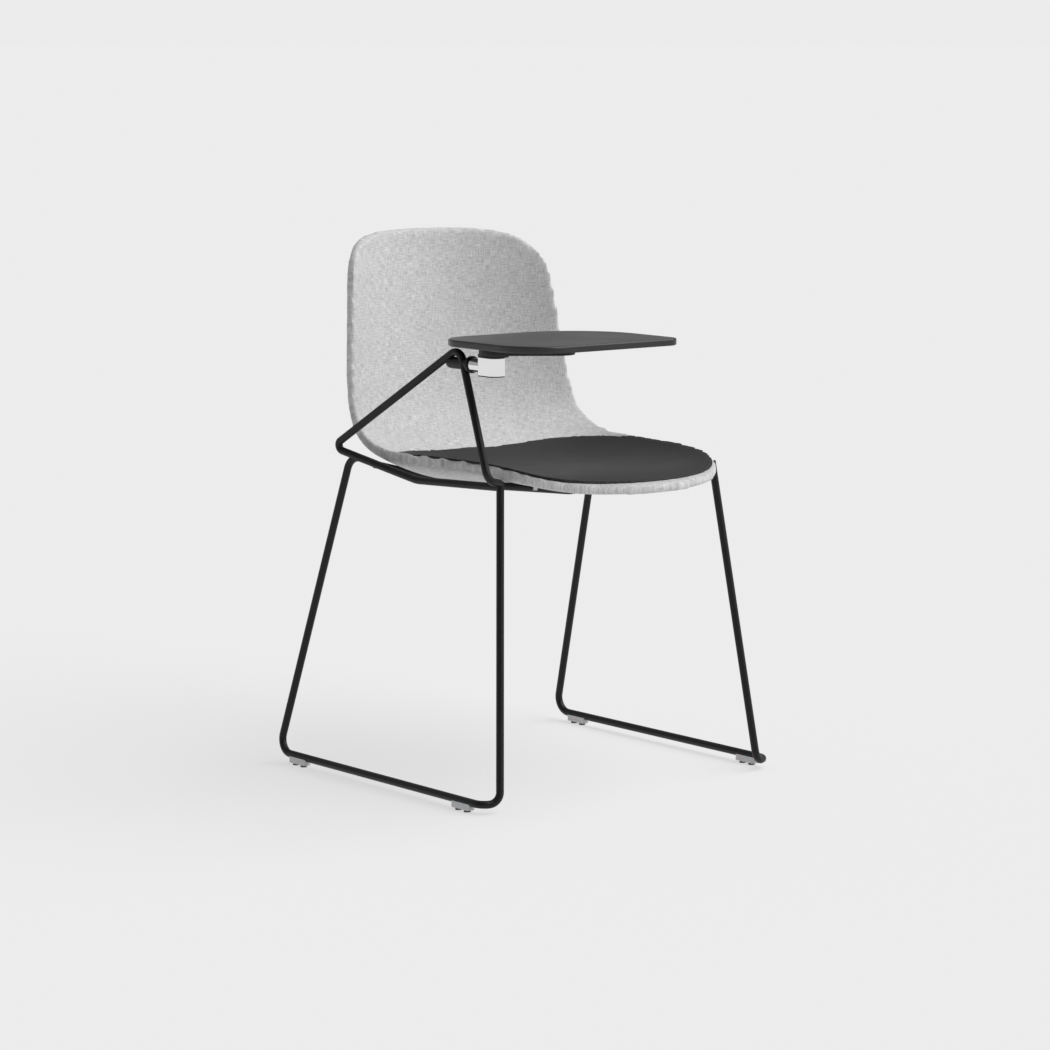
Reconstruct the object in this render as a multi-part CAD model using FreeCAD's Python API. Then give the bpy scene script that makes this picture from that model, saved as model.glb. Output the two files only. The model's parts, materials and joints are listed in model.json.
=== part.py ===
import FreeCAD, Part
import math
import os

# Student desk chair: a sled-base shell chair with a folding writing tablet on the
# sitter's right. Millimetres, +Z up, origin on the floor below the middle of its box.
# The sitter faces -Y, so the sitter's right hand is at -X.

# ---- bent steel rod frame ----
rod_d = 11.0
rail_x = 264.0
rail_z = 14.2
rail_front_y = -236.0
rail_rear_y = 251.0
front_foot = (238.0, -248.0)
leg_front_top = (194.5, -193.5, 455.0)
leg_rear_top = (230.0, 111.0, 467.0)
seat_rail_kink = (213.0, -25.0, 441.5)
seat_rail_front = (195.3, -194.5, 446.5)
foot_radius = 17.0
rear_foot_radius = 21.0
rear_top_radius = 24.0
front_bar_y = -178.0
front_bar_z = (448.0, 430.0)
front_bar_half = 60.0
bar_end_x = 197.0
rear_bar_y = 60.0
rear_bar_z = (457.0, 425.5)
rear_bar_half = 105.0

# ---- moulded shell, measured on the sitting surface ----
cover_front_t = 4.0
core_t = 6.0
cover_back_t = 4.0
core_inset = 6.0
pad_t = 2.5
shell_top_z = 779.0
shell_front_y = -312.0
# middle of the sitting surface (y, z) and its rim (x, y, z), front edge to top edge
shell_middle = [
    (-330, 447), (-255, 453), (-195, 452), (-120, 446), (-40, 440.5), (30, 441.5),
    (98, 457), (152, 490), (185, 535), (205, 588), (222, 648), (236, 712), (253, 790),
]
shell_rim = [
    (172, -330, 451), (177, -255, 462), (182, -198, 471), (190, -120, 475.5), (199, -40, 477),
    (206.5, 32, 478), (209, 88, 486), (209.5, 124, 509), (207, 139, 542), (203, 147, 584),
    (197, 153, 640), (190, 161, 700), (184, 175, 790),
]
# rim seen from above (x, y) and from the front (x, z), one half of each
seat_outline = [
    (209.5, 130), (209, 88), (206.5, 32), (199.5, -40), (191, -120), (184, -178),
    (175, -213), (160, -242), (136, -267), (94, -293), (48, -307),
]
back_outline = [
    (209.5, 440), (208.5, 500), (205, 540), (200.5, 584), (194, 640), (188, 688),
    (184, 711), (178, 730), (167, 748), (151, 762), (126, 771.5), (80, 777),
]
rim_reach = 1.06
pad_prism_z = 380.0
# seat pad seen from above, one half, rear middle to front middle
pad_outline = [
    (0, 105), (80, 104), (145, 94), (180, 68), (194, 28), (195, -32), (190, -76), (187, -118),
    (182, -160), (177, -192), (166, -222), (149, -247), (122, -268), (85, -285), (45, -295), (0, -298),
]

# ---- tablet arm ----
arm_points = [
    (-220, 30, 452), (-241, 141, 476), (-214, -127.9, 638.4), (-224, -203.5, 459), (-196.5, -194.5, 452.5),
]
arm_radii = [8.0, 17.0, 14.0]

# ---- tilt pivot and swivel of the tablet ----
pivot_x = -212.0
pivot_z = 615.3
swivel_y = -201.0
housing_rear_y = -106.0
housing_front_y = -154.0
housing_r = 8.25
housing_nose_r = 12.0
housing_nose_len = 4.0
housing_flare_len = 4.0
bush_r = 6.6
bush_len = 15.0
spigot_r = 5.0
running_gap = 0.05
shaft_r = 9.8
block_size = (26.0, 36.0, 26.6)
block_rear_y = -181.0
block_corner = 11.0
block_rear_corner = 2.5
soft_edge = 0.8
cap_t = 1.6
pin_r = 5.0
washer_t = 0.8
washer_r = 12.0
disc_r = 21.5
disc_t = 4.0
plate_t = 7.6
plate_size = (132.0, 66.0)
plate_corner = 24.0
plate_shift = 46.0
plate_turn = -36.0
plate_edge = 1.5
tablet_screw_inset = 13.0

# ---- writing tablet ----
board_t = 10.0
board_x = (-244.0, 26.0)
board_y = (-322.0, -108.0)
board_corners = [70.0, 20.0, 115.0, 48.0]
board_edge = 2.4

# ---- floor glides and stacking bumpers ----
glide_y = 197.6
glide_size = (13.4, 42.0)
glide_low_z = 3.4
glide_top_z = 12.4
glide_pad_r = 4.8
glide_pad_step = 19.6
glide_corner = 5.0
bumper_x = 126.0
bumper_size = (6.0, 4.6)
bumper_reach = 3.0

rod_r = rod_d / 2
block_low_z = pivot_z - block_size[2] / 2
block_top_z = pivot_z + block_size[2] / 2
disc_low_z = block_top_z + washer_t
plate_low_z = disc_low_z + disc_t
board_low_z = plate_low_z + plate_t
board_top_z = board_low_z + board_t
shell_t = cover_front_t + core_t + cover_back_t

X = FreeCAD.Vector(1, 0, 0)
Y = FreeCAD.Vector(0, 1, 0)
Z = FreeCAD.Vector(0, 0, 1)

os.makedirs("parts", exist_ok=True)


def vec(point):
    return FreeCAD.Vector(*point)


def mirrored(point):
    return (-point[0], point[1], point[2])


nodes = {}


def save(name, *solids):
    nodes[name] = solids[0] if len(solids) == 1 else Part.makeCompound(list(solids))


def cylinder(radius, start, end):
    axis = vec(end) - vec(start)
    return Part.makeCylinder(radius, axis.Length, vec(start), axis)


def box(low, high):
    size = vec(high) - vec(low)
    return Part.makeBox(size.x, size.y, size.z, vec(low))


def rounded_box(low, high, radius):
    """Box with rounded upright edges."""
    blank = box(low, high)
    upright = [e for e in blank.Edges if abs(e.tangentAt(e.FirstParameter).z) > 0.9]
    return blank.makeFillet(radius, upright)


def without(shape, *tools):
    for tool in tools:
        shape = shape.cut(tool)
    return shape.Solids[0] if len(shape.Solids) == 1 else shape


def bent_rod(points, radii, diameter=rod_d):
    """Round rod along straight runs joined by tangent arcs."""
    points = [vec(p) for p in points]
    edges = []
    start = points[0]
    for before, corner, after, radius in zip(points, points[1:], points[2:], radii):
        into = (before - corner).normalize()
        out = (after - corner).normalize()
        half = into.getAngle(out) / 2
        reach = radius / math.tan(half)
        middle = (into + out).normalize()
        first = corner + into * reach
        last = corner + out * reach
        crown = corner + middle * (radius / math.sin(half) - radius)
        edges.append(Part.LineSegment(start, first).toShape())
        edges.append(Part.Arc(first, crown, last).toShape())
        start = last
    edges.append(Part.LineSegment(start, points[-1]).toShape())
    path = Part.Wire(edges)
    circle = Part.Wire(Part.makeCircle(diameter / 2, points[0], points[1] - points[0]))
    return path.makePipeShell([circle], True, True)


def spline(points):
    curve = Part.BSplineCurve()
    curve.interpolate([vec(p) for p in points])
    return curve


# ---- shell sections ----

def track(points):
    """Smooth curve whose parameter counts the points: 0 at the first, 1 at the second."""
    curve = Part.BSplineCurve()
    curve.interpolate(Points=[vec(p) for p in points], Parameters=[float(i) for i in range(len(points))])
    return curve


middle_track = track([(0, y, z) for y, z in shell_middle])
rim_track = track(shell_rim)
last_station = len(shell_rim) - 1


def sitting_point(station, across):
    """Point on the sitting surface: station 0 front to 12 top, across -1..1."""
    middle = middle_track.value(station)
    rim = rim_track.value(station)
    share = abs(across)
    seat_like = max(0.0, min(1.0, (9.0 - station) / 4.0))
    rise = share ** (2.0 + 2.0 * seat_like)
    y = middle.y + (rim.y - middle.y) * share ** 2.0
    return FreeCAD.Vector(rim.x * across, y, middle.z + (rim.z - middle.z) * rise)


def sitting_normal(station, across):
    """Unit normal that points at the sitter."""
    low = max(station - 0.2, 0)
    high = min(station + 0.2, last_station)
    along = sitting_point(high, across) - sitting_point(low, across)
    sideways = sitting_point(station, across + 0.02) - sitting_point(station, across - 0.02)
    normal = sideways.cross(along)
    return normal.normalize()


def shell_sheet(depth, last, steps=6):
    """Smooth sheet at one depth behind the sitting surface, a little wider than the rim."""
    rows = []
    for row in range(2 * last + 1):
        station = row / 2
        shares = [rim_reach * i / steps for i in range(-steps, steps + 1)]
        rows.append([sitting_point(station, s) - sitting_normal(station, s) * depth for s in shares])
    sheet = Part.BSplineSurface()
    sheet.interpolate(rows)
    return sheet


def shell_layer(near, far, last=last_station):
    """Closed solid between two depths behind the sitting surface."""
    top = shell_sheet(near, last)
    low = shell_sheet(far, last)
    u0, u1, v0, v1 = top.bounds()
    faces = [top.toShape(), low.toShape()]
    for side in (u0, u1):
        faces.append(Part.makeRuledSurface(top.uIso(side).toShape(), low.uIso(side).toShape()))
    for side in (v0, v1):
        faces.append(Part.makeRuledSurface(top.vIso(side).toShape(), low.vIso(side).toShape()))
    skin = Part.makeShell(faces)
    skin.sewShape()
    solid = Part.makeSolid(Part.makeShell(skin.Faces))
    if solid.Volume < 0:
        solid.reverse()
    return solid


def outline_prism(half, closing, axis, start, depth):
    """Prism whose outline is a mirrored smooth curve closed by straight sides."""
    curve_points = half + [(0, closing)] + [(-x, y) for x, y in reversed(half)]
    base = []
    for x, y in curve_points:
        base.append((x, y, start) if axis == Z else (x, start, y))
    curve = spline(base).toShape()
    far = 900.0 if axis == Z else 300.0
    side = 260.0
    first = half[0][1]
    ends = [(-side, first), (-side, far), (side, far), (side, first)]
    corner = [base[-1]] + [(x, y, start) if axis == Z else (x, start, y) for x, y in ends] + [base[0]]
    sides = [Part.LineSegment(vec(a), vec(b)).toShape() for a, b in zip(corner, corner[1:])]
    face = Part.Face(Part.Wire([curve] + sides))
    return face.extrude(axis * depth)


def seat_prism(inset):
    outline = [(x - inset, y + inset) for x, y in seat_outline]
    return outline_prism(outline, shell_front_y + inset, Z, 380.0, 480.0)


def back_prism(inset):
    outline = [(x - inset, z - inset) for x, z in back_outline]
    return outline_prism(outline, shell_top_z - inset, Y, -420.0, 760.0)


def trimmed(layer, inset):
    return layer.common(seat_prism(inset)).common(back_prism(inset)).Solids[0]


def make_shell():
    whole = trimmed(shell_layer(0, shell_t), 0)
    front = trimmed(shell_layer(0, cover_front_t), 0)
    core = trimmed(shell_layer(cover_front_t, cover_front_t + core_t), core_inset)
    back = whole.cut(front).cut(core)
    back = max(back.Solids, key=lambda s: s.Volume)
    right_half = [(-x, y) for x, y in reversed(pad_outline[1:-1])]
    curve = Part.BSplineCurve()
    curve.interpolate([vec((x, y, pad_prism_z)) for x, y in pad_outline + right_half], PeriodicFlag=True)
    prism = Part.Face(Part.Wire([curve.toShape()])).extrude(Z * 300)
    pad = shell_layer(-pad_t, 0, last=8).common(prism).Solids[0]
    return whole, front, core, back, pad


# ---- frame ----

def side_frame(side):
    """One sled side: front leg, floor rail, rear leg and seat rail, bent from one rod."""
    points = [
        leg_front_top,
        (front_foot[0], front_foot[1], rail_z),
        (rail_x, rail_front_y, rail_z),
        (rail_x, rail_rear_y, rail_z),
        leg_rear_top,
        seat_rail_kink,
    ]
    kink_end = vec(seat_rail_front) - vec(seat_rail_kink)
    points.append(tuple(vec(seat_rail_front) - kink_end.normalize() * (rod_r + 1.0)))
    if side < 0:
        points = [mirrored(p) for p in points]
    rod = bent_rod(points, [foot_radius, foot_radius, rear_foot_radius, rear_top_radius, 60.0])
    front = seat_rail_front if side > 0 else mirrored(seat_rail_front)
    tail = vec(front) - vec(points[-1])
    stub = Part.makeCylinder(rod_r, tail.Length, vec(points[-1]), tail)
    return rod.fuse(stub).removeSplitter().Solids[0]


def cross_bar(y, heights, half, end_x, frames):
    points = [(-end_x, y, heights[0]), (-half, y, heights[1]), (half, y, heights[1]), (end_x, y, heights[0])]
    return without(bent_rod(points, [45.0, 45.0]), *frames)


right_frame = side_frame(-1)
left_frame = side_frame(1)
frames = (right_frame, left_frame)
front_bar = cross_bar(front_bar_y, front_bar_z, front_bar_half, bar_end_x, frames)
rear_bar = cross_bar(rear_bar_y, rear_bar_z, rear_bar_half, 225.0, frames)

whole_shell, cover_front, shell_core, cover_back, seat_pad = make_shell()

# ---- seat brackets, screws and inserts ----
bracket_half_x = 14.0
bracket_front = 8.0
bracket_reach = 22.0
screw_step = 13.0
screw_r = 3.0
screw_head_r = 5.4
screw_head_t = 3.5
insert_r = 4.6
bracket_spots = {
    "front_right": (-50.0, front_bar_y, front_bar_z[1]),
    "front_left": (50.0, front_bar_y, front_bar_z[1]),
    "rear_right": (-85.0, rear_bar_y, rear_bar_z[1]),
    "rear_left": (85.0, rear_bar_y, rear_bar_z[1]),
}
screws = []
inserts = []
brackets = {}
for spot, (x, y, z) in bracket_spots.items():
    inward = 1 if y < 0 else -1
    bar = front_bar if y < 0 else rear_bar
    screw_y = y + inward * screw_step
    probe = Part.LineSegment(vec((x, screw_y, z)), vec((x, screw_y, z + 40.0))).toShape().common(shell_core)
    heights = [v.Z for v in probe.Vertexes]
    tip_z = max(heights) - 1.0
    head = cylinder(screw_head_r, (x, screw_y, z - screw_head_t), (x, screw_y, z))
    screw = cylinder(screw_r, (x, screw_y, z), (x, screw_y, tip_z)).fuse(head).removeSplitter().Solids[0]
    sleeve = cylinder(insert_r, (x, screw_y, min(heights) + 0.8), (x, screw_y, tip_z))
    ends = sorted([y - inward * bracket_front, y + inward * bracket_reach])
    plate = box((x - bracket_half_x, ends[0], z), (x + bracket_half_x, ends[1], z + 24.0))
    plate = plate.cut(whole_shell).cut(bar).cut(screw)
    low_parts = [s for s in plate.Solids if s.BoundBox.ZMin < z + 6.0]
    brackets[spot] = max(low_parts, key=lambda s: s.Volume)
    screws.append(screw)
    inserts.append(without(sleeve, screw))

shell_core = without(shell_core, *screws, *inserts)
cover_back = cover_back.cut(front_bar).cut(rear_bar)
cover_back = without(max(cover_back.Solids, key=lambda s: s.Volume), *screws)

# ---- tablet arm ----
arm = without(bent_rod(arm_points, arm_radii), right_frame)
arm = max(arm.Solids, key=lambda s: s.Volume)

# ---- pivot housing, welded to the arm ----


def along_y(radius, start, end):
    return cylinder(radius, (pivot_x, start, pivot_z), (pivot_x, end, pivot_z))


nose_y = housing_front_y + housing_nose_len
barrel = along_y(housing_r, housing_rear_y, housing_front_y)
nose = along_y(housing_nose_r, nose_y, housing_front_y)
flare_start = vec((pivot_x, nose_y + housing_flare_len, pivot_z))
flare = Part.makeCone(housing_r, housing_nose_r, housing_flare_len, flare_start, Y * -1)
housing = barrel.fuse(nose).fuse(flare).removeSplitter().Solids[0]
arm = without(arm, housing)
arm = max(arm.Solids, key=lambda s: s.Volume)
housing = without(housing, along_y(bush_r, housing_rear_y + 1.0, housing_front_y - 1.0))

bushes = []
for start in (housing_rear_y - 5.0, housing_front_y + bush_len):
    outer = along_y(bush_r, start, start - bush_len)
    bushes.append(without(outer, along_y(spigot_r + running_gap, start + 1, start - bush_len - 1)))
rear_bush, front_bush = bushes

cap_ball = Part.makeSphere(housing_r, vec((pivot_x, housing_rear_y, pivot_z)))
dome = cap_ball.common(box((-300, housing_rear_y, 500), (-100, housing_rear_y + 30, 700)))
cap_plug = along_y(bush_r, housing_rear_y, housing_rear_y - 1.2)
cap_room = along_y(bush_r - 1.0, housing_rear_y + 2.0, housing_rear_y - 2.0)
end_cap = without(dome.fuse(cap_plug).removeSplitter().Solids[0], cap_room, arm)

# ---- tilting joint: shaft and swivel block ----
spigot_end = housing_rear_y - 3.5
spigot = along_y(spigot_r, housing_front_y, spigot_end)
collar = along_y(shaft_r, housing_front_y - 0.3, block_rear_y)
neck = along_y(spigot_r, housing_front_y - 0.3, housing_front_y)
screw_hole = along_y(2.5, spigot_end + 1, spigot_end - 16)
shaft = without(spigot.fuse(neck).fuse(collar).removeSplitter().Solids[0], screw_hole)
keeper_washer = along_y(bush_r - 0.3, spigot_end, spigot_end + 1.2)
keeper_shank = along_y(2.5, spigot_end + 1.2, spigot_end - 15)
keeper_head = along_y(4.2, spigot_end + 1.2, spigot_end + 3.2)
keeper_screw = keeper_shank.fuse(keeper_head).removeSplitter().Solids[0]
keeper_washer = without(keeper_washer, keeper_screw)


def block_slice(low_z, high_z):
    """Slice of the swivel block: round at the front, nearly square at the shaft."""
    low = (pivot_x - block_size[0] / 2, block_rear_y - block_size[1], low_z)
    high = (pivot_x + block_size[0] / 2, block_rear_y, high_z)
    blank = box(low, high)
    upright = [e for e in blank.Edges if abs(e.tangentAt(e.FirstParameter).z) > 0.9]
    front = [e for e in upright if e.BoundBox.YMax < swivel_y]
    rounded = blank.makeFillet(block_corner, front)
    rear = [e for e in rounded.Edges if e.BoundBox.YMin > block_rear_y - 0.01 and e.BoundBox.ZLength > 1.0]
    return rounded.makeFillet(block_rear_corner, rear)


def soften(shape, z, radius):
    """Round the edges that lie at one height."""
    level = [e for e in shape.Edges if abs(e.BoundBox.ZMin - z) < 0.01 and e.BoundBox.ZLength < 0.01]
    return shape.makeFillet(radius, level)


block = soften(block_slice(block_low_z + cap_t, block_top_z), block_top_z, soft_edge)
block_cap = soften(block_slice(block_low_z, block_low_z + cap_t), block_low_z, soft_edge)
pin_low_z = block_low_z + cap_t + 6.0
pin_bore = cylinder(pin_r + running_gap, (pivot_x, swivel_y, pin_low_z - 1.0), (pivot_x, swivel_y, block_top_z + 5))
block = without(block, pin_bore)

# ---- swivelling tablet ----
swivel_pin = cylinder(pin_r, (pivot_x, swivel_y, pin_low_z), (pivot_x, swivel_y, plate_low_z + 3.0))
swivel_disc = cylinder(disc_r, (pivot_x, swivel_y, disc_low_z), (pivot_x, swivel_y, plate_low_z))
swivel_disc = soften(swivel_disc, disc_low_z, soft_edge)
swivel_disc = without(swivel_disc, swivel_pin)
ring = cylinder(washer_r, (pivot_x, swivel_y, block_top_z), (pivot_x, swivel_y, disc_low_z))
friction_washer = without(ring, pin_bore)


def rounded_slab(x_range, y_range, low, thickness, corners):
    """Slab with its own radius at each corner, counter-clockwise from the low corner."""
    (x0, x1), (y0, y1) = x_range, y_range
    corner_points = [(x0, y0), (x1, y0), (x1, y1), (x0, y1)]
    turns = [(1, 1), (-1, 1), (-1, -1), (1, -1)]
    edges = []
    joins = []
    for index, ((x, y), (sx, sy), radius) in enumerate(zip(corner_points, turns, corners)):
        centre = vec((x + sx * radius, y + sy * radius, low))
        crown = centre + vec((-sx, -sy, 0)).normalize() * radius
        flat_x = vec((x + sx * radius, y, low))
        flat_y = vec((x, y + sy * radius, low))
        first, last = (flat_y, flat_x) if index % 2 == 0 else (flat_x, flat_y)
        joins.append((first, last))
        edges.append(Part.Arc(first, crown, last).toShape())
    for (first, last), (following, end) in zip(joins, joins[1:] + joins[:1]):
        edges.append(Part.LineSegment(last, following).toShape())
    outline = Part.Wire(Part.__sortEdges__(edges))
    return Part.Face(outline).extrude(Z * thickness)


swivel_centre = vec((pivot_x, swivel_y, 0))


def turned(shape):
    """The mount plate and its screws lie along the tablet's long diagonal."""
    shape.rotate(swivel_centre, Z, plate_turn)
    return shape


plate_x = pivot_x + plate_shift
plate_xs = (plate_x - plate_size[0] / 2, plate_x + plate_size[0] / 2)
plate_ys = (swivel_y - plate_size[1] / 2, swivel_y + plate_size[1] / 2)
mount_plate = rounded_slab(plate_xs, plate_ys, plate_low_z, plate_t, [plate_corner] * 4)
mount_plate = turned(soften(mount_plate, plate_low_z, plate_edge))

board = rounded_slab(board_x, board_y, board_low_z, board_t, board_corners)
board = board.makeFillet(board_edge, [e for e in board.Edges if e.BoundBox.ZLength < 0.01])

tablet_screws = []
for sx in (-1, 1):
    for sy in (-1, 1):
        x = plate_x + sx * (plate_size[0] / 2 - tablet_screw_inset)
        y = swivel_y + sy * (plate_size[1] / 2 - tablet_screw_inset)
        shank = cylinder(2.2, (x, y, plate_low_z + 1.0), (x, y, board_low_z + 6.0))
        head = cylinder(4.2, (x, y, plate_low_z + 0.2), (x, y, plate_low_z + 2.8))
        tablet_screws.append(turned(shank.fuse(head).removeSplitter().Solids[0]))
mount_plate = without(mount_plate, swivel_pin, *tablet_screws)
board = without(board, *tablet_screws)

# ---- floor glides ----
glide_clips = {}
glide_pads = []
for side_name, side, rail in (("right", -1, right_frame), ("left", 1, left_frame)):
    for end_name, end in (("front", -1), ("rear", 1)):
        x = side * rail_x
        y = end * glide_y
        low = (x - glide_size[0] / 2, y - glide_size[1] / 2, glide_low_z)
        high = (x + glide_size[0] / 2, y + glide_size[1] / 2, glide_top_z)
        clip = without(rounded_box(low, high, glide_corner), rail)
        for step in (-0.5, 0.5):
            foot_y = y + step * glide_pad_step
            foot = cylinder(glide_pad_r, (x, foot_y, 0), (x, foot_y, glide_low_z + 1.2))
            glide_pads.append(foot)
            clip = without(clip, foot)
        glide_clips["glide_clip_" + end_name + "_" + side_name] = clip

# ---- stacking bumpers on the front bar ----
bumpers = []
bumper_share = (bumper_x - front_bar_half) / (bar_end_x - front_bar_half)
bumper_z = front_bar_z[1] + bumper_share * (front_bar_z[0] - front_bar_z[1])
for side in (-1, 1):
    half_width, half_height = bumper_size[0] / 2, bumper_size[1] / 2
    low = (side * bumper_x - half_width, front_bar_y - rod_r - bumper_reach, bumper_z - half_height)
    high = (side * bumper_x + half_width, front_bar_y, bumper_z + half_height)
    bumpers.append(max(box(low, high).cut(front_bar).Solids, key=lambda s: s.Volume))

# ---- write every node ----
save("side_frame_right", right_frame)
save("side_frame_left", left_frame)
save("front_cross_bar", front_bar)
save("rear_cross_bar", rear_bar)
for spot, bracket in brackets.items():
    save("seat_bracket_" + spot, bracket)
save("shell_screws", *screws)
save("shell_inserts", *inserts)
save("shell_core", shell_core)
save("upholstery_front", cover_front)
save("upholstery_back", cover_back)
save("seat_pad", seat_pad)
for name, clip in glide_clips.items():
    save(name, clip)
save("glide_pads", *glide_pads)
save("stacking_bumper_right", bumpers[0])
save("stacking_bumper_left", bumpers[1])
save("tablet_arm_rod", arm)
save("pivot_housing", housing)
save("housing_bush_rear", rear_bush)
save("housing_bush_front", front_bush)
save("housing_end_cap", end_cap)
save("tilt_shaft", shaft)
save("shaft_washer", keeper_washer)
save("shaft_screw", keeper_screw)
save("swivel_block", block)
save("block_cap", block_cap)
save("friction_washer", friction_washer)
save("swivel_pin", swivel_pin)
save("swivel_disc", swivel_disc)
save("tablet_mount_plate", mount_plate)
save("tablet_board", board)
save("tablet_screws", *tablet_screws)

# The origin moves to the floor below the middle of the whole chair's box.
extent = Part.makeCompound(list(nodes.values())).optimalBoundingBox(False, False)
shift = vec((-extent.Center.x, -extent.Center.y, -extent.ZMin))
print("shift", shift, "size", extent.XLength, extent.YLength, extent.ZLength)
for name, shape in nodes.items():
    moved = shape.translated(shift)
    moved.exportStep("parts/" + name + ".step")
    state = "valid" if moved.isValid() else "BAD"
    print(name, len(moved.Solids), "solids", round(moved.Volume / 1000, 2), "cm3", state)
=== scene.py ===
import json
import math

import bmesh
import bpy
import numpy as np
from mathutils import Matrix, Vector

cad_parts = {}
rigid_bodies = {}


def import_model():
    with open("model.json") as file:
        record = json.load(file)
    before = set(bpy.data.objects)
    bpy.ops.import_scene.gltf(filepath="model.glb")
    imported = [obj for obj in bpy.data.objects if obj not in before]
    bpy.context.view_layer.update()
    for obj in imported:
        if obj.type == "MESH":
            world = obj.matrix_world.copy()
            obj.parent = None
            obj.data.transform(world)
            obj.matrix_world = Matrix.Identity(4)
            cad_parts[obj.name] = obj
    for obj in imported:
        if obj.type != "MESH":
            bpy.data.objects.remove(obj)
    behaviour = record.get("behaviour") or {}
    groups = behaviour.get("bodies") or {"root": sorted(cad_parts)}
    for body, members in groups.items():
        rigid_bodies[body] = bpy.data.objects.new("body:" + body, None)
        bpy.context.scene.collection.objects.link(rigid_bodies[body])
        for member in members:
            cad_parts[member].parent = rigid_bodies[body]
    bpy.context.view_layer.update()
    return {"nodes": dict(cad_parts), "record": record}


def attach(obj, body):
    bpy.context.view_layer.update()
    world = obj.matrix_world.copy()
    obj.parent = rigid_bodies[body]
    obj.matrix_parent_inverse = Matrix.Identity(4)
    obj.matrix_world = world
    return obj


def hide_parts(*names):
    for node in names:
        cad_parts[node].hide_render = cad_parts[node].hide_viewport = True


for leftover in list(bpy.data.objects):
    bpy.data.objects.remove(leftover)

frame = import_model()
print("frame loaded")


def deselectAll():
    bpy.ops.object.select_all(action="DESELECT")


def makeActive(item):
    deselectAll()
    item.select_set(True)
    bpy.context.view_layer.objects.active = item


def applyModifier(item, kind, **values):
    makeActive(item)
    bpy.ops.object.modifier_add(type=kind)
    modifier = item.modifiers[-1]
    for name, value in values.items():
        setattr(modifier, name, value)
    bpy.ops.object.modifier_apply(modifier=modifier.name)


def settle(item):
    # the finished piece has its origin at zero and its place in its mesh
    item.data.transform(item.matrix_world)
    item.matrix_world = Matrix.Identity(4)


def finishPiece(item, material, body, replaced=()):
    item.data.materials.clear()
    item.data.materials.append(material)
    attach(item, body)
    if replaced:
        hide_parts(*replaced)


# camera
camera = {
    "place": (-3.3157, -4.1678, 1.0921),
    "azimuth": -38.33,
    "elevation": 7.83,
    "lens": 126.65,
    "sensor": 36,
}
deselectAll()
tilt = math.radians(90 - camera["elevation"])
turn = math.radians(camera["azimuth"])
bpy.ops.object.camera_add(location=camera["place"], rotation=(tilt, 0, turn))
viewCamera = bpy.context.object
viewCamera.data.sensor_width = camera["sensor"]
viewCamera.data.lens = camera["lens"]
viewCamera.data.clip_end = 500
bpy.context.scene.camera = viewCamera

# soft studio: one wide key from the front left of the sitter, even fill from all round
studio = {
    "keyFrom": (0.47, -0.50, 0.73),
    "keyStrength": 2.95,
    "keyAngle": 75,
    "fill": 0.37,
    "darkFrom": (-0.70, -0.71, 0.05),
    "darkEdges": (0.70, 0.86),
    "darkFill": 0.07,
    "backdrop": 0.835,
    "floorRadius": 150,
    "floorTone": 0.30,
    "floorGlow": 0.53,
}
deselectAll()
bpy.ops.object.light_add(type="SUN", location=Vector(studio["keyFrom"]) * 4)
key = bpy.context.object
key.rotation_euler = Vector(studio["keyFrom"]).to_track_quat("Z", "Y").to_euler()
key.data.energy = studio["keyStrength"]
key.data.angle = math.radians(studio["keyAngle"])
bpy.context.scene.view_settings.view_transform = "Standard"

world = bpy.data.worlds.new("studio")
bpy.context.scene.world = world
world.use_nodes = True
worldNodes = world.node_tree.nodes
worldLinks = world.node_tree.links
worldNodes.clear()
worldOut = worldNodes.new("ShaderNodeOutputWorld")
backdropGlow = worldNodes.new("ShaderNodeBackground")
fillGlow = worldNodes.new("ShaderNodeBackground")
whichRay = worldNodes.new("ShaderNodeLightPath")
rayMix = worldNodes.new("ShaderNodeMixShader")
backdropGlow.inputs["Strength"].default_value = studio["backdrop"]
for glow in (backdropGlow, fillGlow):
    glow.inputs["Color"].default_value = (1, 1, 1, 1)
worldPlace = worldNodes.new("ShaderNodeTexCoord")
facing = worldNodes.new("ShaderNodeVectorMath")
facing.operation = "DOT_PRODUCT"
facing.inputs[1].default_value = Vector(studio["darkFrom"]).normalized()
darkPatch = worldNodes.new("ShaderNodeMapRange")
darkPatch.inputs["From Min"].default_value = studio["darkEdges"][0]
darkPatch.inputs["From Max"].default_value = studio["darkEdges"][1]
darkPatch.inputs["To Min"].default_value = studio["fill"]
darkPatch.inputs["To Max"].default_value = studio["darkFill"]
worldLinks.new(worldPlace.outputs["Generated"], facing.inputs[0])
worldLinks.new(facing.outputs["Value"], darkPatch.inputs["Value"])
worldLinks.new(darkPatch.outputs[0], fillGlow.inputs["Strength"])
worldLinks.new(whichRay.outputs["Is Camera Ray"], rayMix.inputs[0])
worldLinks.new(fillGlow.outputs[0], rayMix.inputs[1])
worldLinks.new(backdropGlow.outputs[0], rayMix.inputs[2])
worldLinks.new(rayMix.outputs[0], worldOut.inputs["Surface"])

deselectAll()
bpy.ops.mesh.primitive_circle_add(vertices=96, radius=studio["floorRadius"], fill_type="NGON")
floor = bpy.context.object
floor.name = "studioFloor"
floorPaint = bpy.data.materials.new("floorPaint")
floorPaint.use_nodes = True
floorShader = floorPaint.node_tree.nodes["Principled BSDF"]
floorShader.inputs["Base Color"].default_value = (studio["floorTone"],) * 3 + (1,)
floorShader.inputs["Roughness"].default_value = 1.0
floorShader.inputs["Specular IOR Level"].default_value = 0.0
floorShader.inputs["Emission Color"].default_value = (1, 1, 1, 1)
floorShader.inputs["Emission Strength"].default_value = studio["floorGlow"]
floor.data.materials.append(floorPaint)
print("studio ready")


# shared effects, as node groups

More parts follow.
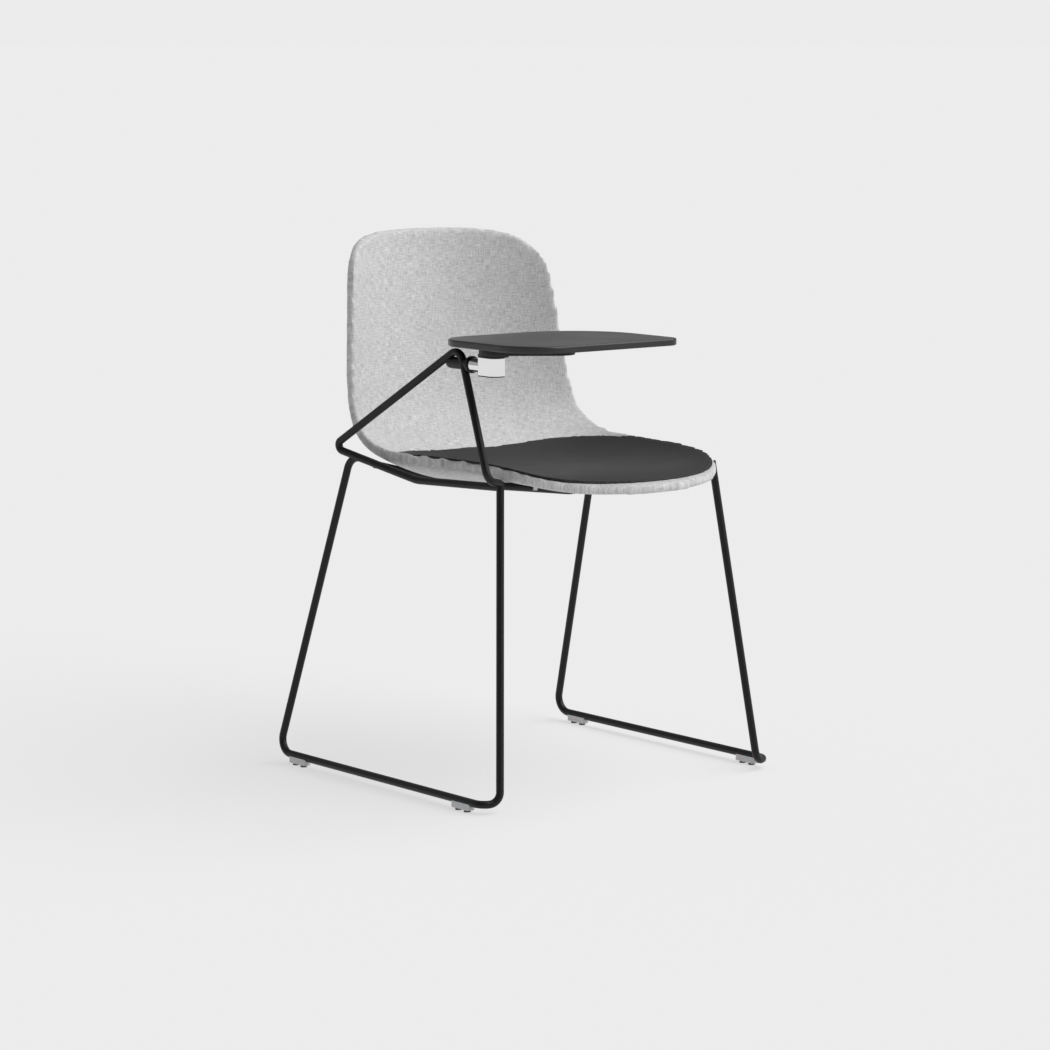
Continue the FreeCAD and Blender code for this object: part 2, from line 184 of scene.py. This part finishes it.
def newGroup(name, inputs, outputs):
    group = bpy.data.node_groups.new(name, "ShaderNodeTree")
    for socketName, kind, default in inputs:
        socket = group.interface.new_socket(name=socketName, in_out="INPUT", socket_type=kind)
        if default is not None:
            socket.default_value = default
    for socketName, kind in outputs:
        group.interface.new_socket(name=socketName, in_out="OUTPUT", socket_type=kind)
    return group


class Wiring:
    # short hand for placing and linking nodes in one tree
    def __init__(self, tree):
        self.tree = tree
        self.column = 0

    def add(self, kind, links=None, **values):
        node = self.tree.nodes.new(kind)
        self.column += 1
        node.location = (self.column * 180, -(self.column % 4) * 160)
        for name, value in values.items():
            setattr(node, name, value)
        for socket, source in (links or {}).items():
            if isinstance(source, (int, float, tuple)):
                node.inputs[socket].default_value = source
            else:
                self.tree.links.new(source, node.inputs[socket])
        return node

    def math(self, operation, first, second=0.0):
        return self.add("ShaderNodeMath", {0: first, 1: second}, operation=operation).outputs[0]

    def noise(self, vector, scale, detail=2.0, roughness=0.5, flat=False):
        node = self.add("ShaderNodeTexNoise", {"Vector": vector, "Scale": scale, "Detail": detail})
        node.inputs["Roughness"].default_value = roughness
        node.noise_dimensions = "2D" if flat else "3D"
        return node.outputs["Fac"]

    def ramp(self, value, low, high, start=0.0, end=1.0):
        links = {"Value": value, "From Min": low, "From Max": high, "To Min": start, "To Max": end}
        return self.add("ShaderNodeMapRange", links).outputs[0]


linenWeave = {
    "fleckStart": 0.27,
    "fleckFull": 0.20,
    "fleckDepth": 0.30,
    "yarnShare": 0.75,
    "cloudScale": 30.0,
    "cloudShare": 0.16,
    "weaveHeight": 0.3,
}


def buildLinenGroup():
    # fine warp and weft, thin short slubs both ways and a few dark flecks
    inputs = [
        ("Vector", "NodeSocketVector", None),
        ("Threads per metre", "NodeSocketFloat", 900.0),
        ("Slubs per metre", "NodeSocketFloat", 95.0),
    ]
    outputs = [("Tone", "NodeSocketFloat"), ("Height", "NodeSocketFloat")]
    group = newGroup("linenWeave", inputs, outputs)
    wire = Wiring(group)
    entry = wire.add("NodeGroupInput")
    split = wire.add("ShaderNodeSeparateXYZ", {0: entry.outputs["Vector"]})
    threads = entry.outputs["Threads per metre"]
    slubs = entry.outputs["Slubs per metre"]
    across, along = split.outputs[0], split.outputs[1]
    yarns = []
    flecks = []
    for fine, coarse in ((across, along), (along, across)):
        fineCount = wire.math("MULTIPLY", fine, threads)
        coarseCount = wire.math("MULTIPLY", coarse, slubs)
        place = wire.add("ShaderNodeCombineXYZ", {0: fineCount, 1: coarseCount}).outputs[0]
        yarn = wire.noise(place, 1.0, 2.0, 0.5, flat=True)
        yarns.append(wire.math("SUBTRACT", yarn, 0.5))
        flecks.append(wire.ramp(yarn, linenWeave["fleckStart"], linenWeave["fleckFull"]))
    mottle = wire.noise(entry.outputs["Vector"], linenWeave["cloudScale"], 2.0, 0.5)
    yarnTone = wire.math("ADD", yarns[0], yarns[1])
    cloudTone = wire.math("MULTIPLY", wire.math("SUBTRACT", mottle, 0.5), linenWeave["cloudShare"])
    fleckTone = wire.math("MULTIPLY", wire.math("ADD", flecks[0], flecks[1]), linenWeave["fleckDepth"])
    yarnPart = wire.math("MULTIPLY", yarnTone, linenWeave["yarnShare"])
    tone = wire.math("ADD", wire.math("ADD", yarnPart, cloudTone), 0.5)
    tone = wire.math("SUBTRACT", tone, fleckTone)
    turn = 2 * math.pi
    warpWave = wire.math("SINE", wire.math("MULTIPLY", wire.math("MULTIPLY", across, threads), turn))
    weftWave = wire.math("SINE", wire.math("MULTIPLY", wire.math("MULTIPLY", along, threads), turn))
    weave = wire.math("MULTIPLY", warpWave, weftWave)
    height = wire.math("ADD", wire.math("MULTIPLY", weave, linenWeave["weaveHeight"]), yarnTone)
    leave = wire.add("NodeGroupOutput")
    group.links.new(tone, leave.inputs["Tone"])
    group.links.new(height, leave.inputs["Height"])
    return group


def buildGrainGroup():
    # fine even grain with slow clouds, for coats, mouldings and skins
    inputs = [
        ("Vector", "NodeSocketVector", None),
        ("Grain scale", "NodeSocketFloat", 900.0),
        ("Cloud scale", "NodeSocketFloat", 14.0),
    ]
    outputs = [("Grain", "NodeSocketFloat"), ("Cloud", "NodeSocketFloat")]
    group = newGroup("surfaceGrain", inputs, outputs)
    wire = Wiring(group)
    entry = wire.add("NodeGroupInput")
    place = entry.outputs["Vector"]
    grain = wire.add("ShaderNodeTexNoise", {"Vector": place, "Scale": entry.outputs["Grain scale"]})
    cloud = wire.add("ShaderNodeTexNoise", {"Vector": place, "Scale": entry.outputs["Cloud scale"]})
    grain.inputs["Detail"].default_value = 2.0
    cloud.inputs["Detail"].default_value = 4.0
    leave = wire.add("NodeGroupOutput")
    group.links.new(grain.outputs["Fac"], leave.inputs["Grain"])
    group.links.new(cloud.outputs["Fac"], leave.inputs["Cloud"])
    return group


linenGroup = buildLinenGroup()
grainGroup = buildGrainGroup()


def placeGroup(wire, group, vector, **values):
    node = wire.add("ShaderNodeGroup")
    node.node_tree = group
    wire.tree.links.new(vector, node.inputs["Vector"])
    for name, value in values.items():
        node.inputs[name.replace("_", " ")].default_value = value
    return node


def grainyMaterial(name, look):
    # one colour pair, one roughness pair and a grain bump
    material = bpy.data.materials.new(name)
    material.use_nodes = True
    tree = material.node_tree
    shader = tree.nodes["Principled BSDF"]
    wire = Wiring(tree)
    place = wire.add("ShaderNodeTexCoord").outputs["Object"]
    grain = placeGroup(wire, grainGroup, place, Grain_scale=look["grain"], Cloud_scale=look["cloud"])
    mix = wire.add("ShaderNodeMix", data_type="RGBA")
    mix.inputs[6].default_value = tuple(look["dark"]) + (1,)
    mix.inputs[7].default_value = tuple(look["light"]) + (1,)
    blend = wire.math("MULTIPLY", wire.math("ADD", grain.outputs["Grain"], grain.outputs["Cloud"]), 0.5)
    tree.links.new(blend, mix.inputs[0])
    tree.links.new(mix.outputs[2], shader.inputs["Base Color"])
    rough = wire.ramp(grain.outputs["Cloud"], 0.3, 0.7, look["rough"][0], look["rough"][1])
    tree.links.new(rough, shader.inputs["Roughness"])
    if look["bump"]:
        links = {"Height": grain.outputs["Grain"], "Strength": 1.0, "Distance": look["bump"]}
        bump = wire.add("ShaderNodeBump", links)
        tree.links.new(bump.outputs[0], shader.inputs["Normal"])
    for socket, value in look.get("fixed", {}).items():
        shader.inputs[socket].default_value = value
    return material


powderCoat = grainyMaterial("blackPowderCoat", {
    "dark": (0.0035, 0.0035, 0.0037), "light": (0.0075, 0.0075, 0.0078),
    "grain": 1500.0, "cloud": 25.0, "rough": (0.34, 0.46), "bump": 0.00006,
    "fixed": {"Specular IOR Level": 0.28},
})
seatSkin = grainyMaterial("blackSeatSkin", {
    "dark": (0.005, 0.005, 0.0052), "light": (0.011, 0.011, 0.0113),
    "grain": 1100.0, "cloud": 9.0, "rough": (0.50, 0.60), "bump": 0.00010,
    "fixed": {"Specular IOR Level": 0.32, "Sheen Weight": 0.04},
})
laminate = grainyMaterial("blackLaminate", {
    "dark": (0.010, 0.010, 0.0105), "light": (0.020, 0.020, 0.021),
    "grain": 1700.0, "cloud": 11.0, "rough": (0.30, 0.38), "bump": 0.00003,
    "fixed": {"Specular IOR Level": 0.5},
})
blackPlastic = grainyMaterial("blackMoulding", {
    "dark": (0.006, 0.006, 0.006), "light": (0.012, 0.012, 0.012),
    "grain": 1300.0, "cloud": 18.0, "rough": (0.42, 0.52), "bump": 0.00005,
    "fixed": {"Specular IOR Level": 0.35},
})
chromeSkin = grainyMaterial("polishedChrome", {
    "dark": (0.80, 0.80, 0.81), "light": (0.90, 0.90, 0.91),
    "grain": 700.0, "cloud": 30.0, "rough": (0.05, 0.11), "bump": 0.0,
    "fixed": {"Metallic": 1.0},
})
zincSkin = grainyMaterial("zincSteel", {
    "dark": (0.42, 0.42, 0.43), "light": (0.60, 0.60, 0.61),
    "grain": 1400.0, "cloud": 60.0, "rough": (0.28, 0.42), "bump": 0.00002,
    "fixed": {"Metallic": 1.0},
})
brassSkin = grainyMaterial("turnedBrass", {
    "dark": (0.55, 0.40, 0.16), "light": (0.72, 0.55, 0.26),
    "grain": 1400.0, "cloud": 60.0, "rough": (0.25, 0.38), "bump": 0.00002,
    "fixed": {"Metallic": 1.0},
})
shellMoulding = grainyMaterial("shellMoulding", {
    "dark": (0.05, 0.05, 0.05), "light": (0.09, 0.09, 0.09),
    "grain": 900.0, "cloud": 10.0, "rough": (0.45, 0.60), "bump": 0.00005,
})
bushMoulding = grainyMaterial("bushMoulding", {
    "dark": (0.22, 0.22, 0.20), "light": (0.32, 0.32, 0.29),
    "grain": 900.0, "cloud": 40.0, "rough": (0.40, 0.50), "bump": 0.00003,
})
glideMoulding = grainyMaterial("milkyGlide", {
    "dark": (0.50, 0.50, 0.51), "light": (0.64, 0.64, 0.65),
    "grain": 800.0, "cloud": 60.0, "rough": (0.28, 0.40), "bump": 0.00004,
    "fixed": {"Subsurface Weight": 0.25, "Subsurface Scale": 0.004, "Specular IOR Level": 0.5},
})
glideRubber = grainyMaterial("glideRubber", {
    "dark": (0.05, 0.05, 0.05), "light": (0.09, 0.09, 0.09),
    "grain": 1200.0, "cloud": 80.0, "rough": (0.6, 0.75), "bump": 0.00006,
})
bumperMoulding = grainyMaterial("greyBumper", {
    "dark": (0.55, 0.55, 0.55), "light": (0.66, 0.66, 0.66),
    "grain": 900.0, "cloud": 60.0, "rough": (0.35, 0.45), "bump": 0.00003,
})


def linenMaterial(look):
    material = bpy.data.materials.new("greyLinen")
    material.use_nodes = True
    tree = material.node_tree
    shader = tree.nodes["Principled BSDF"]
    wire = Wiring(tree)
    cloth = wire.add("ShaderNodeUVMap", uv_map=look["map"]).outputs[0]
    counts = {"Threads_per_metre": look["threads"], "Slubs_per_metre": look["slubs"]}
    linen = placeGroup(wire, linenGroup, cloth, **counts)
    tone = wire.add("ShaderNodeValToRGB", {0: linen.outputs["Tone"]})
    steps = tone.color_ramp.elements
    steps[0].position, steps[1].position = look["span"]
    steps[0].color = (look["dark"],) * 3 + (1,)
    steps[1].color = (look["light"],) * 3 + (1,)
    tree.links.new(tone.outputs[0], shader.inputs["Base Color"])
    links = {"Height": linen.outputs["Height"], "Strength": 1.0, "Distance": look["bump"]}
    bump = wire.add("ShaderNodeBump", links)
    tree.links.new(bump.outputs[0], shader.inputs["Normal"])
    rough = wire.ramp(linen.outputs["Tone"], 0.3, 0.7, 0.95, 0.82)
    tree.links.new(rough, shader.inputs["Roughness"])
    shader.inputs["Specular IOR Level"].default_value = 0.2
    shader.inputs["Sheen Weight"].default_value = look["sheen"]
    shader.inputs["Sheen Roughness"].default_value = 0.5
    return material


greyLinen = linenMaterial({
    "map": "clothMap", "threads": 760.0, "slubs": 85.0, "span": (0.15, 0.85),
    "dark": 0.36, "light": 0.70, "bump": 0.00014, "sheen": 0.10,
})
print("materials ready")


# soft pieces

weldGap = 0.00002
airFill = {"quality": 4, "frames": 20}


def weldedCopy(name, sourceNodes):
    # one mesh from the solids that the soft piece stands for
    mesh = bpy.data.meshes.new(name)
    build = bmesh.new()
    for nodeName in sourceNodes:
        build.from_mesh(frame["nodes"][nodeName].data)
    bmesh.ops.remove_doubles(build, verts=build.verts, dist=weldGap)
    build.to_mesh(mesh)
    build.free()
    item = bpy.data.objects.new(name, mesh)
    bpy.context.scene.collection.objects.link(item)
    return item


def keepLargest(item):
    # inner bubbles of the remesh are dropped
    build = bmesh.new()
    build.from_mesh(item.data)
    waiting = set(build.verts)
    islands = []
    while waiting:
        first = waiting.pop()
        island = [first]
        edge = [first]
        while edge:
            vert = edge.pop()
            for link in vert.link_edges:
                other = link.other_vert(vert)
                if other in waiting:
                    waiting.discard(other)
                    island.append(other)
                    edge.append(other)
        islands.append(island)
    islands.sort(key=len)
    for island in islands[:-1]:
        bmesh.ops.delete(build, geom=island, context="VERTS")
    build.to_mesh(item.data)
    build.free()


def readPoints(mesh):
    points = np.zeros(len(mesh.vertices) * 3)
    mesh.vertices.foreach_get("co", points)
    return points.reshape(-1, 3)


def readNormals(mesh):
    normals = np.zeros(len(mesh.vertices) * 3)
    mesh.vertices.foreach_get("normal", normals)
    return normals.reshape(-1, 3)


def swell(item, recipe):
    # air pressure fills the cover, and no point moves further out than the cap
    rest = readPoints(item.data)
    normals = readNormals(item.data)
    makeActive(item)
    bpy.ops.object.modifier_add(type="CLOTH")
    cloth = item.modifiers[-1]
    cloth.settings.use_pressure = True
    cloth.settings.uniform_pressure_force = recipe["pressure"]
    cloth.settings.effector_weights.gravity = 0
    cloth.settings.quality = airFill["quality"]
    scene = bpy.context.scene
    for step in range(1, airFill["frames"] + 1):
        scene.frame_set(step)
    bpy.ops.object.modifier_apply(modifier=cloth.name)
    scene.frame_set(1)
    moved = readPoints(item.data)
    outward = ((moved - rest) * normals).sum(axis=1).clip(0, recipe["cap"])
    item.data.vertices.foreach_set("co", (rest + normals * outward[:, None]).ravel())
    item.data.update()
    print(item.name, "swelled by", round(float(outward.mean()) * 1000, 2), "mm on average")


def puff(item, distance):
    # a tight cover stands evenly off its core
    points = readPoints(item.data) + readNormals(item.data) * distance
    item.data.vertices.foreach_set("co", points.ravel())
    item.data.update()


def softPiece(name, sourceNodes, recipe):
    # remeshed, eased, drawn back onto the solids and eased again
    item = weldedCopy(name, sourceNodes)
    applyModifier(item, "REMESH", mode="VOXEL", voxel_size=recipe["voxel"])
    keepLargest(item)
    applyModifier(item, "SMOOTH", factor=0.5, iterations=recipe["smooth"])
    guide = weldedCopy(name + "Guide", sourceNodes)
    applyModifier(item, "SHRINKWRAP", target=guide, wrap_method="NEAREST_SURFACEPOINT")
    bpy.data.objects.remove(guide)
    if recipe["pressure"]:
        swell(item, recipe)
    applyModifier(item, "SMOOTH", factor=0.5, iterations=recipe["relax"])
    puff(item, recipe["puff"])
    if recipe["subdivide"]:
        applyModifier(item, "SUBSURF", levels=recipe["subdivide"], render_levels=recipe["subdivide"])
    makeActive(item)
    bpy.ops.object.shade_smooth()
    return item


def smoothLine(points, steps):
    # evenly filled smooth line through the given points
    points = np.array(points)
    ends = np.vstack([2 * points[0] - points[1], points, 2 * points[-1] - points[-2]])
    line = []
    for i in range(1, len(ends) - 2):
        before, start, stop, after = ends[i - 1:i + 3]
        for t in np.linspace(0, 1, steps, endpoint=False):
            curve = 2 * start + (stop - before) * t
            curve = curve + (2 * before - 5 * start + 4 * stop - after) * t ** 2
            curve = curve + (3 * start - before - 3 * stop + after) * t ** 3
            line.append(curve / 2)
    line.append(points[-1])
    return np.array(line)


def layCloth(item, profile, mapName):
    # the cloth map runs across the shell and along its profile, in metres
    line = smoothLine(profile, 16)
    lengths = np.concatenate([[0], np.cumsum(np.linalg.norm(np.diff(line, axis=0), axis=1))])
    points = readPoints(item.data)
    spots = points[:, 1:3]
    best = np.full(len(spots), 1e9)
    along = np.zeros(len(spots))
    for i in range(len(line) - 1):
        step = line[i + 1] - line[i]
        share = ((spots - line[i]) @ step / (step @ step)).clip(0, 1)
        gap = np.linalg.norm(spots - line[i] - share[:, None] * step, axis=1)
        closer = gap < best
        best[closer] = gap[closer]
        along[closer] = (lengths[i] + share * (lengths[i + 1] - lengths[i]))[closer]
    layer = item.data.uv_layers.new(name=mapName)
    corners = np.zeros(len(item.data.loops), dtype=np.int64)
    item.data.loops.foreach_get("vertex_index", corners)
    spread = np.column_stack([points[:, 0], along])[corners]
    layer.data.foreach_set("uv", spread.ravel())


shellCover = {
    "nodes": ("upholstery_front", "shell_core", "upholstery_back"),
    "voxel": 0.004,
    "smooth": 6,
    "relax": 9,
    "pressure": 0,
    "puff": 0.0003,
    "subdivide": 1,
    "fill": 0.9,
    # side view of the middle of the seat and back, front edge to top (y, z)
    "profile": [
        (-0.3012, 0.4470), (-0.2262, 0.4530), (-0.1662, 0.4520), (-0.0912, 0.4460), (-0.0112, 0.4405),
        (0.0588, 0.4415), (0.1268, 0.4570), (0.1808, 0.4900), (0.2138, 0.5350), (0.2338, 0.5880),
        (0.2508, 0.6480), (0.2648, 0.7120), (0.2818, 0.7900),
    ],
}
upholstery = softPiece("shellUpholstery", shellCover["nodes"], shellCover)
layCloth(upholstery, shellCover["profile"], "clothMap")
finishPiece(upholstery, greyLinen, "chair", ("upholstery_front", "upholstery_back"))
print("shell upholstery made", len(upholstery.data.polygons))

padCover = {
    "nodes": ("seat_pad",),
    "voxel": 0.0022,
    "smooth": 2,
    "relax": 1,
    "pressure": 4,
    "cap": 0.0008,
    "puff": 0.0002,
    "subdivide": 0,
    "fill": 0.8,
}
seatPad = softPiece("seatPadCover", padCover["nodes"], padCover)
finishPiece(seatPad, seatSkin, "chair", ("seat_pad",))
print("seat pad made", len(seatPad.data.polygons))

# carried-over solids get their finishes
finishes = {
    "black_powder_coat": powderCoat,
    "grey_upholstery": greyLinen,
    "shell_plastic": shellMoulding,
    "black_seat_pad": seatSkin,
    "polished_chrome": chromeSkin,
    "zinc_steel": zincSkin,
    "insert_brass": brassSkin,
    "grey_glide_plastic": glideMoulding,
    "black_glide_pad": glideRubber,
    "grey_bumper": bumperMoulding,
    "bush_plastic": bushMoulding,
    "black_laminate": laminate,
    "black_plastic": blackPlastic,
}
for part in frame["record"]["subparts"]:
    solid = frame["nodes"][part["node"]]
    if not solid.material_slots:
        solid.data.materials.append(None)
    for materialSlot in solid.material_slots:
        materialSlot.material = finishes[part["material_slot"]]
print("finishes given")
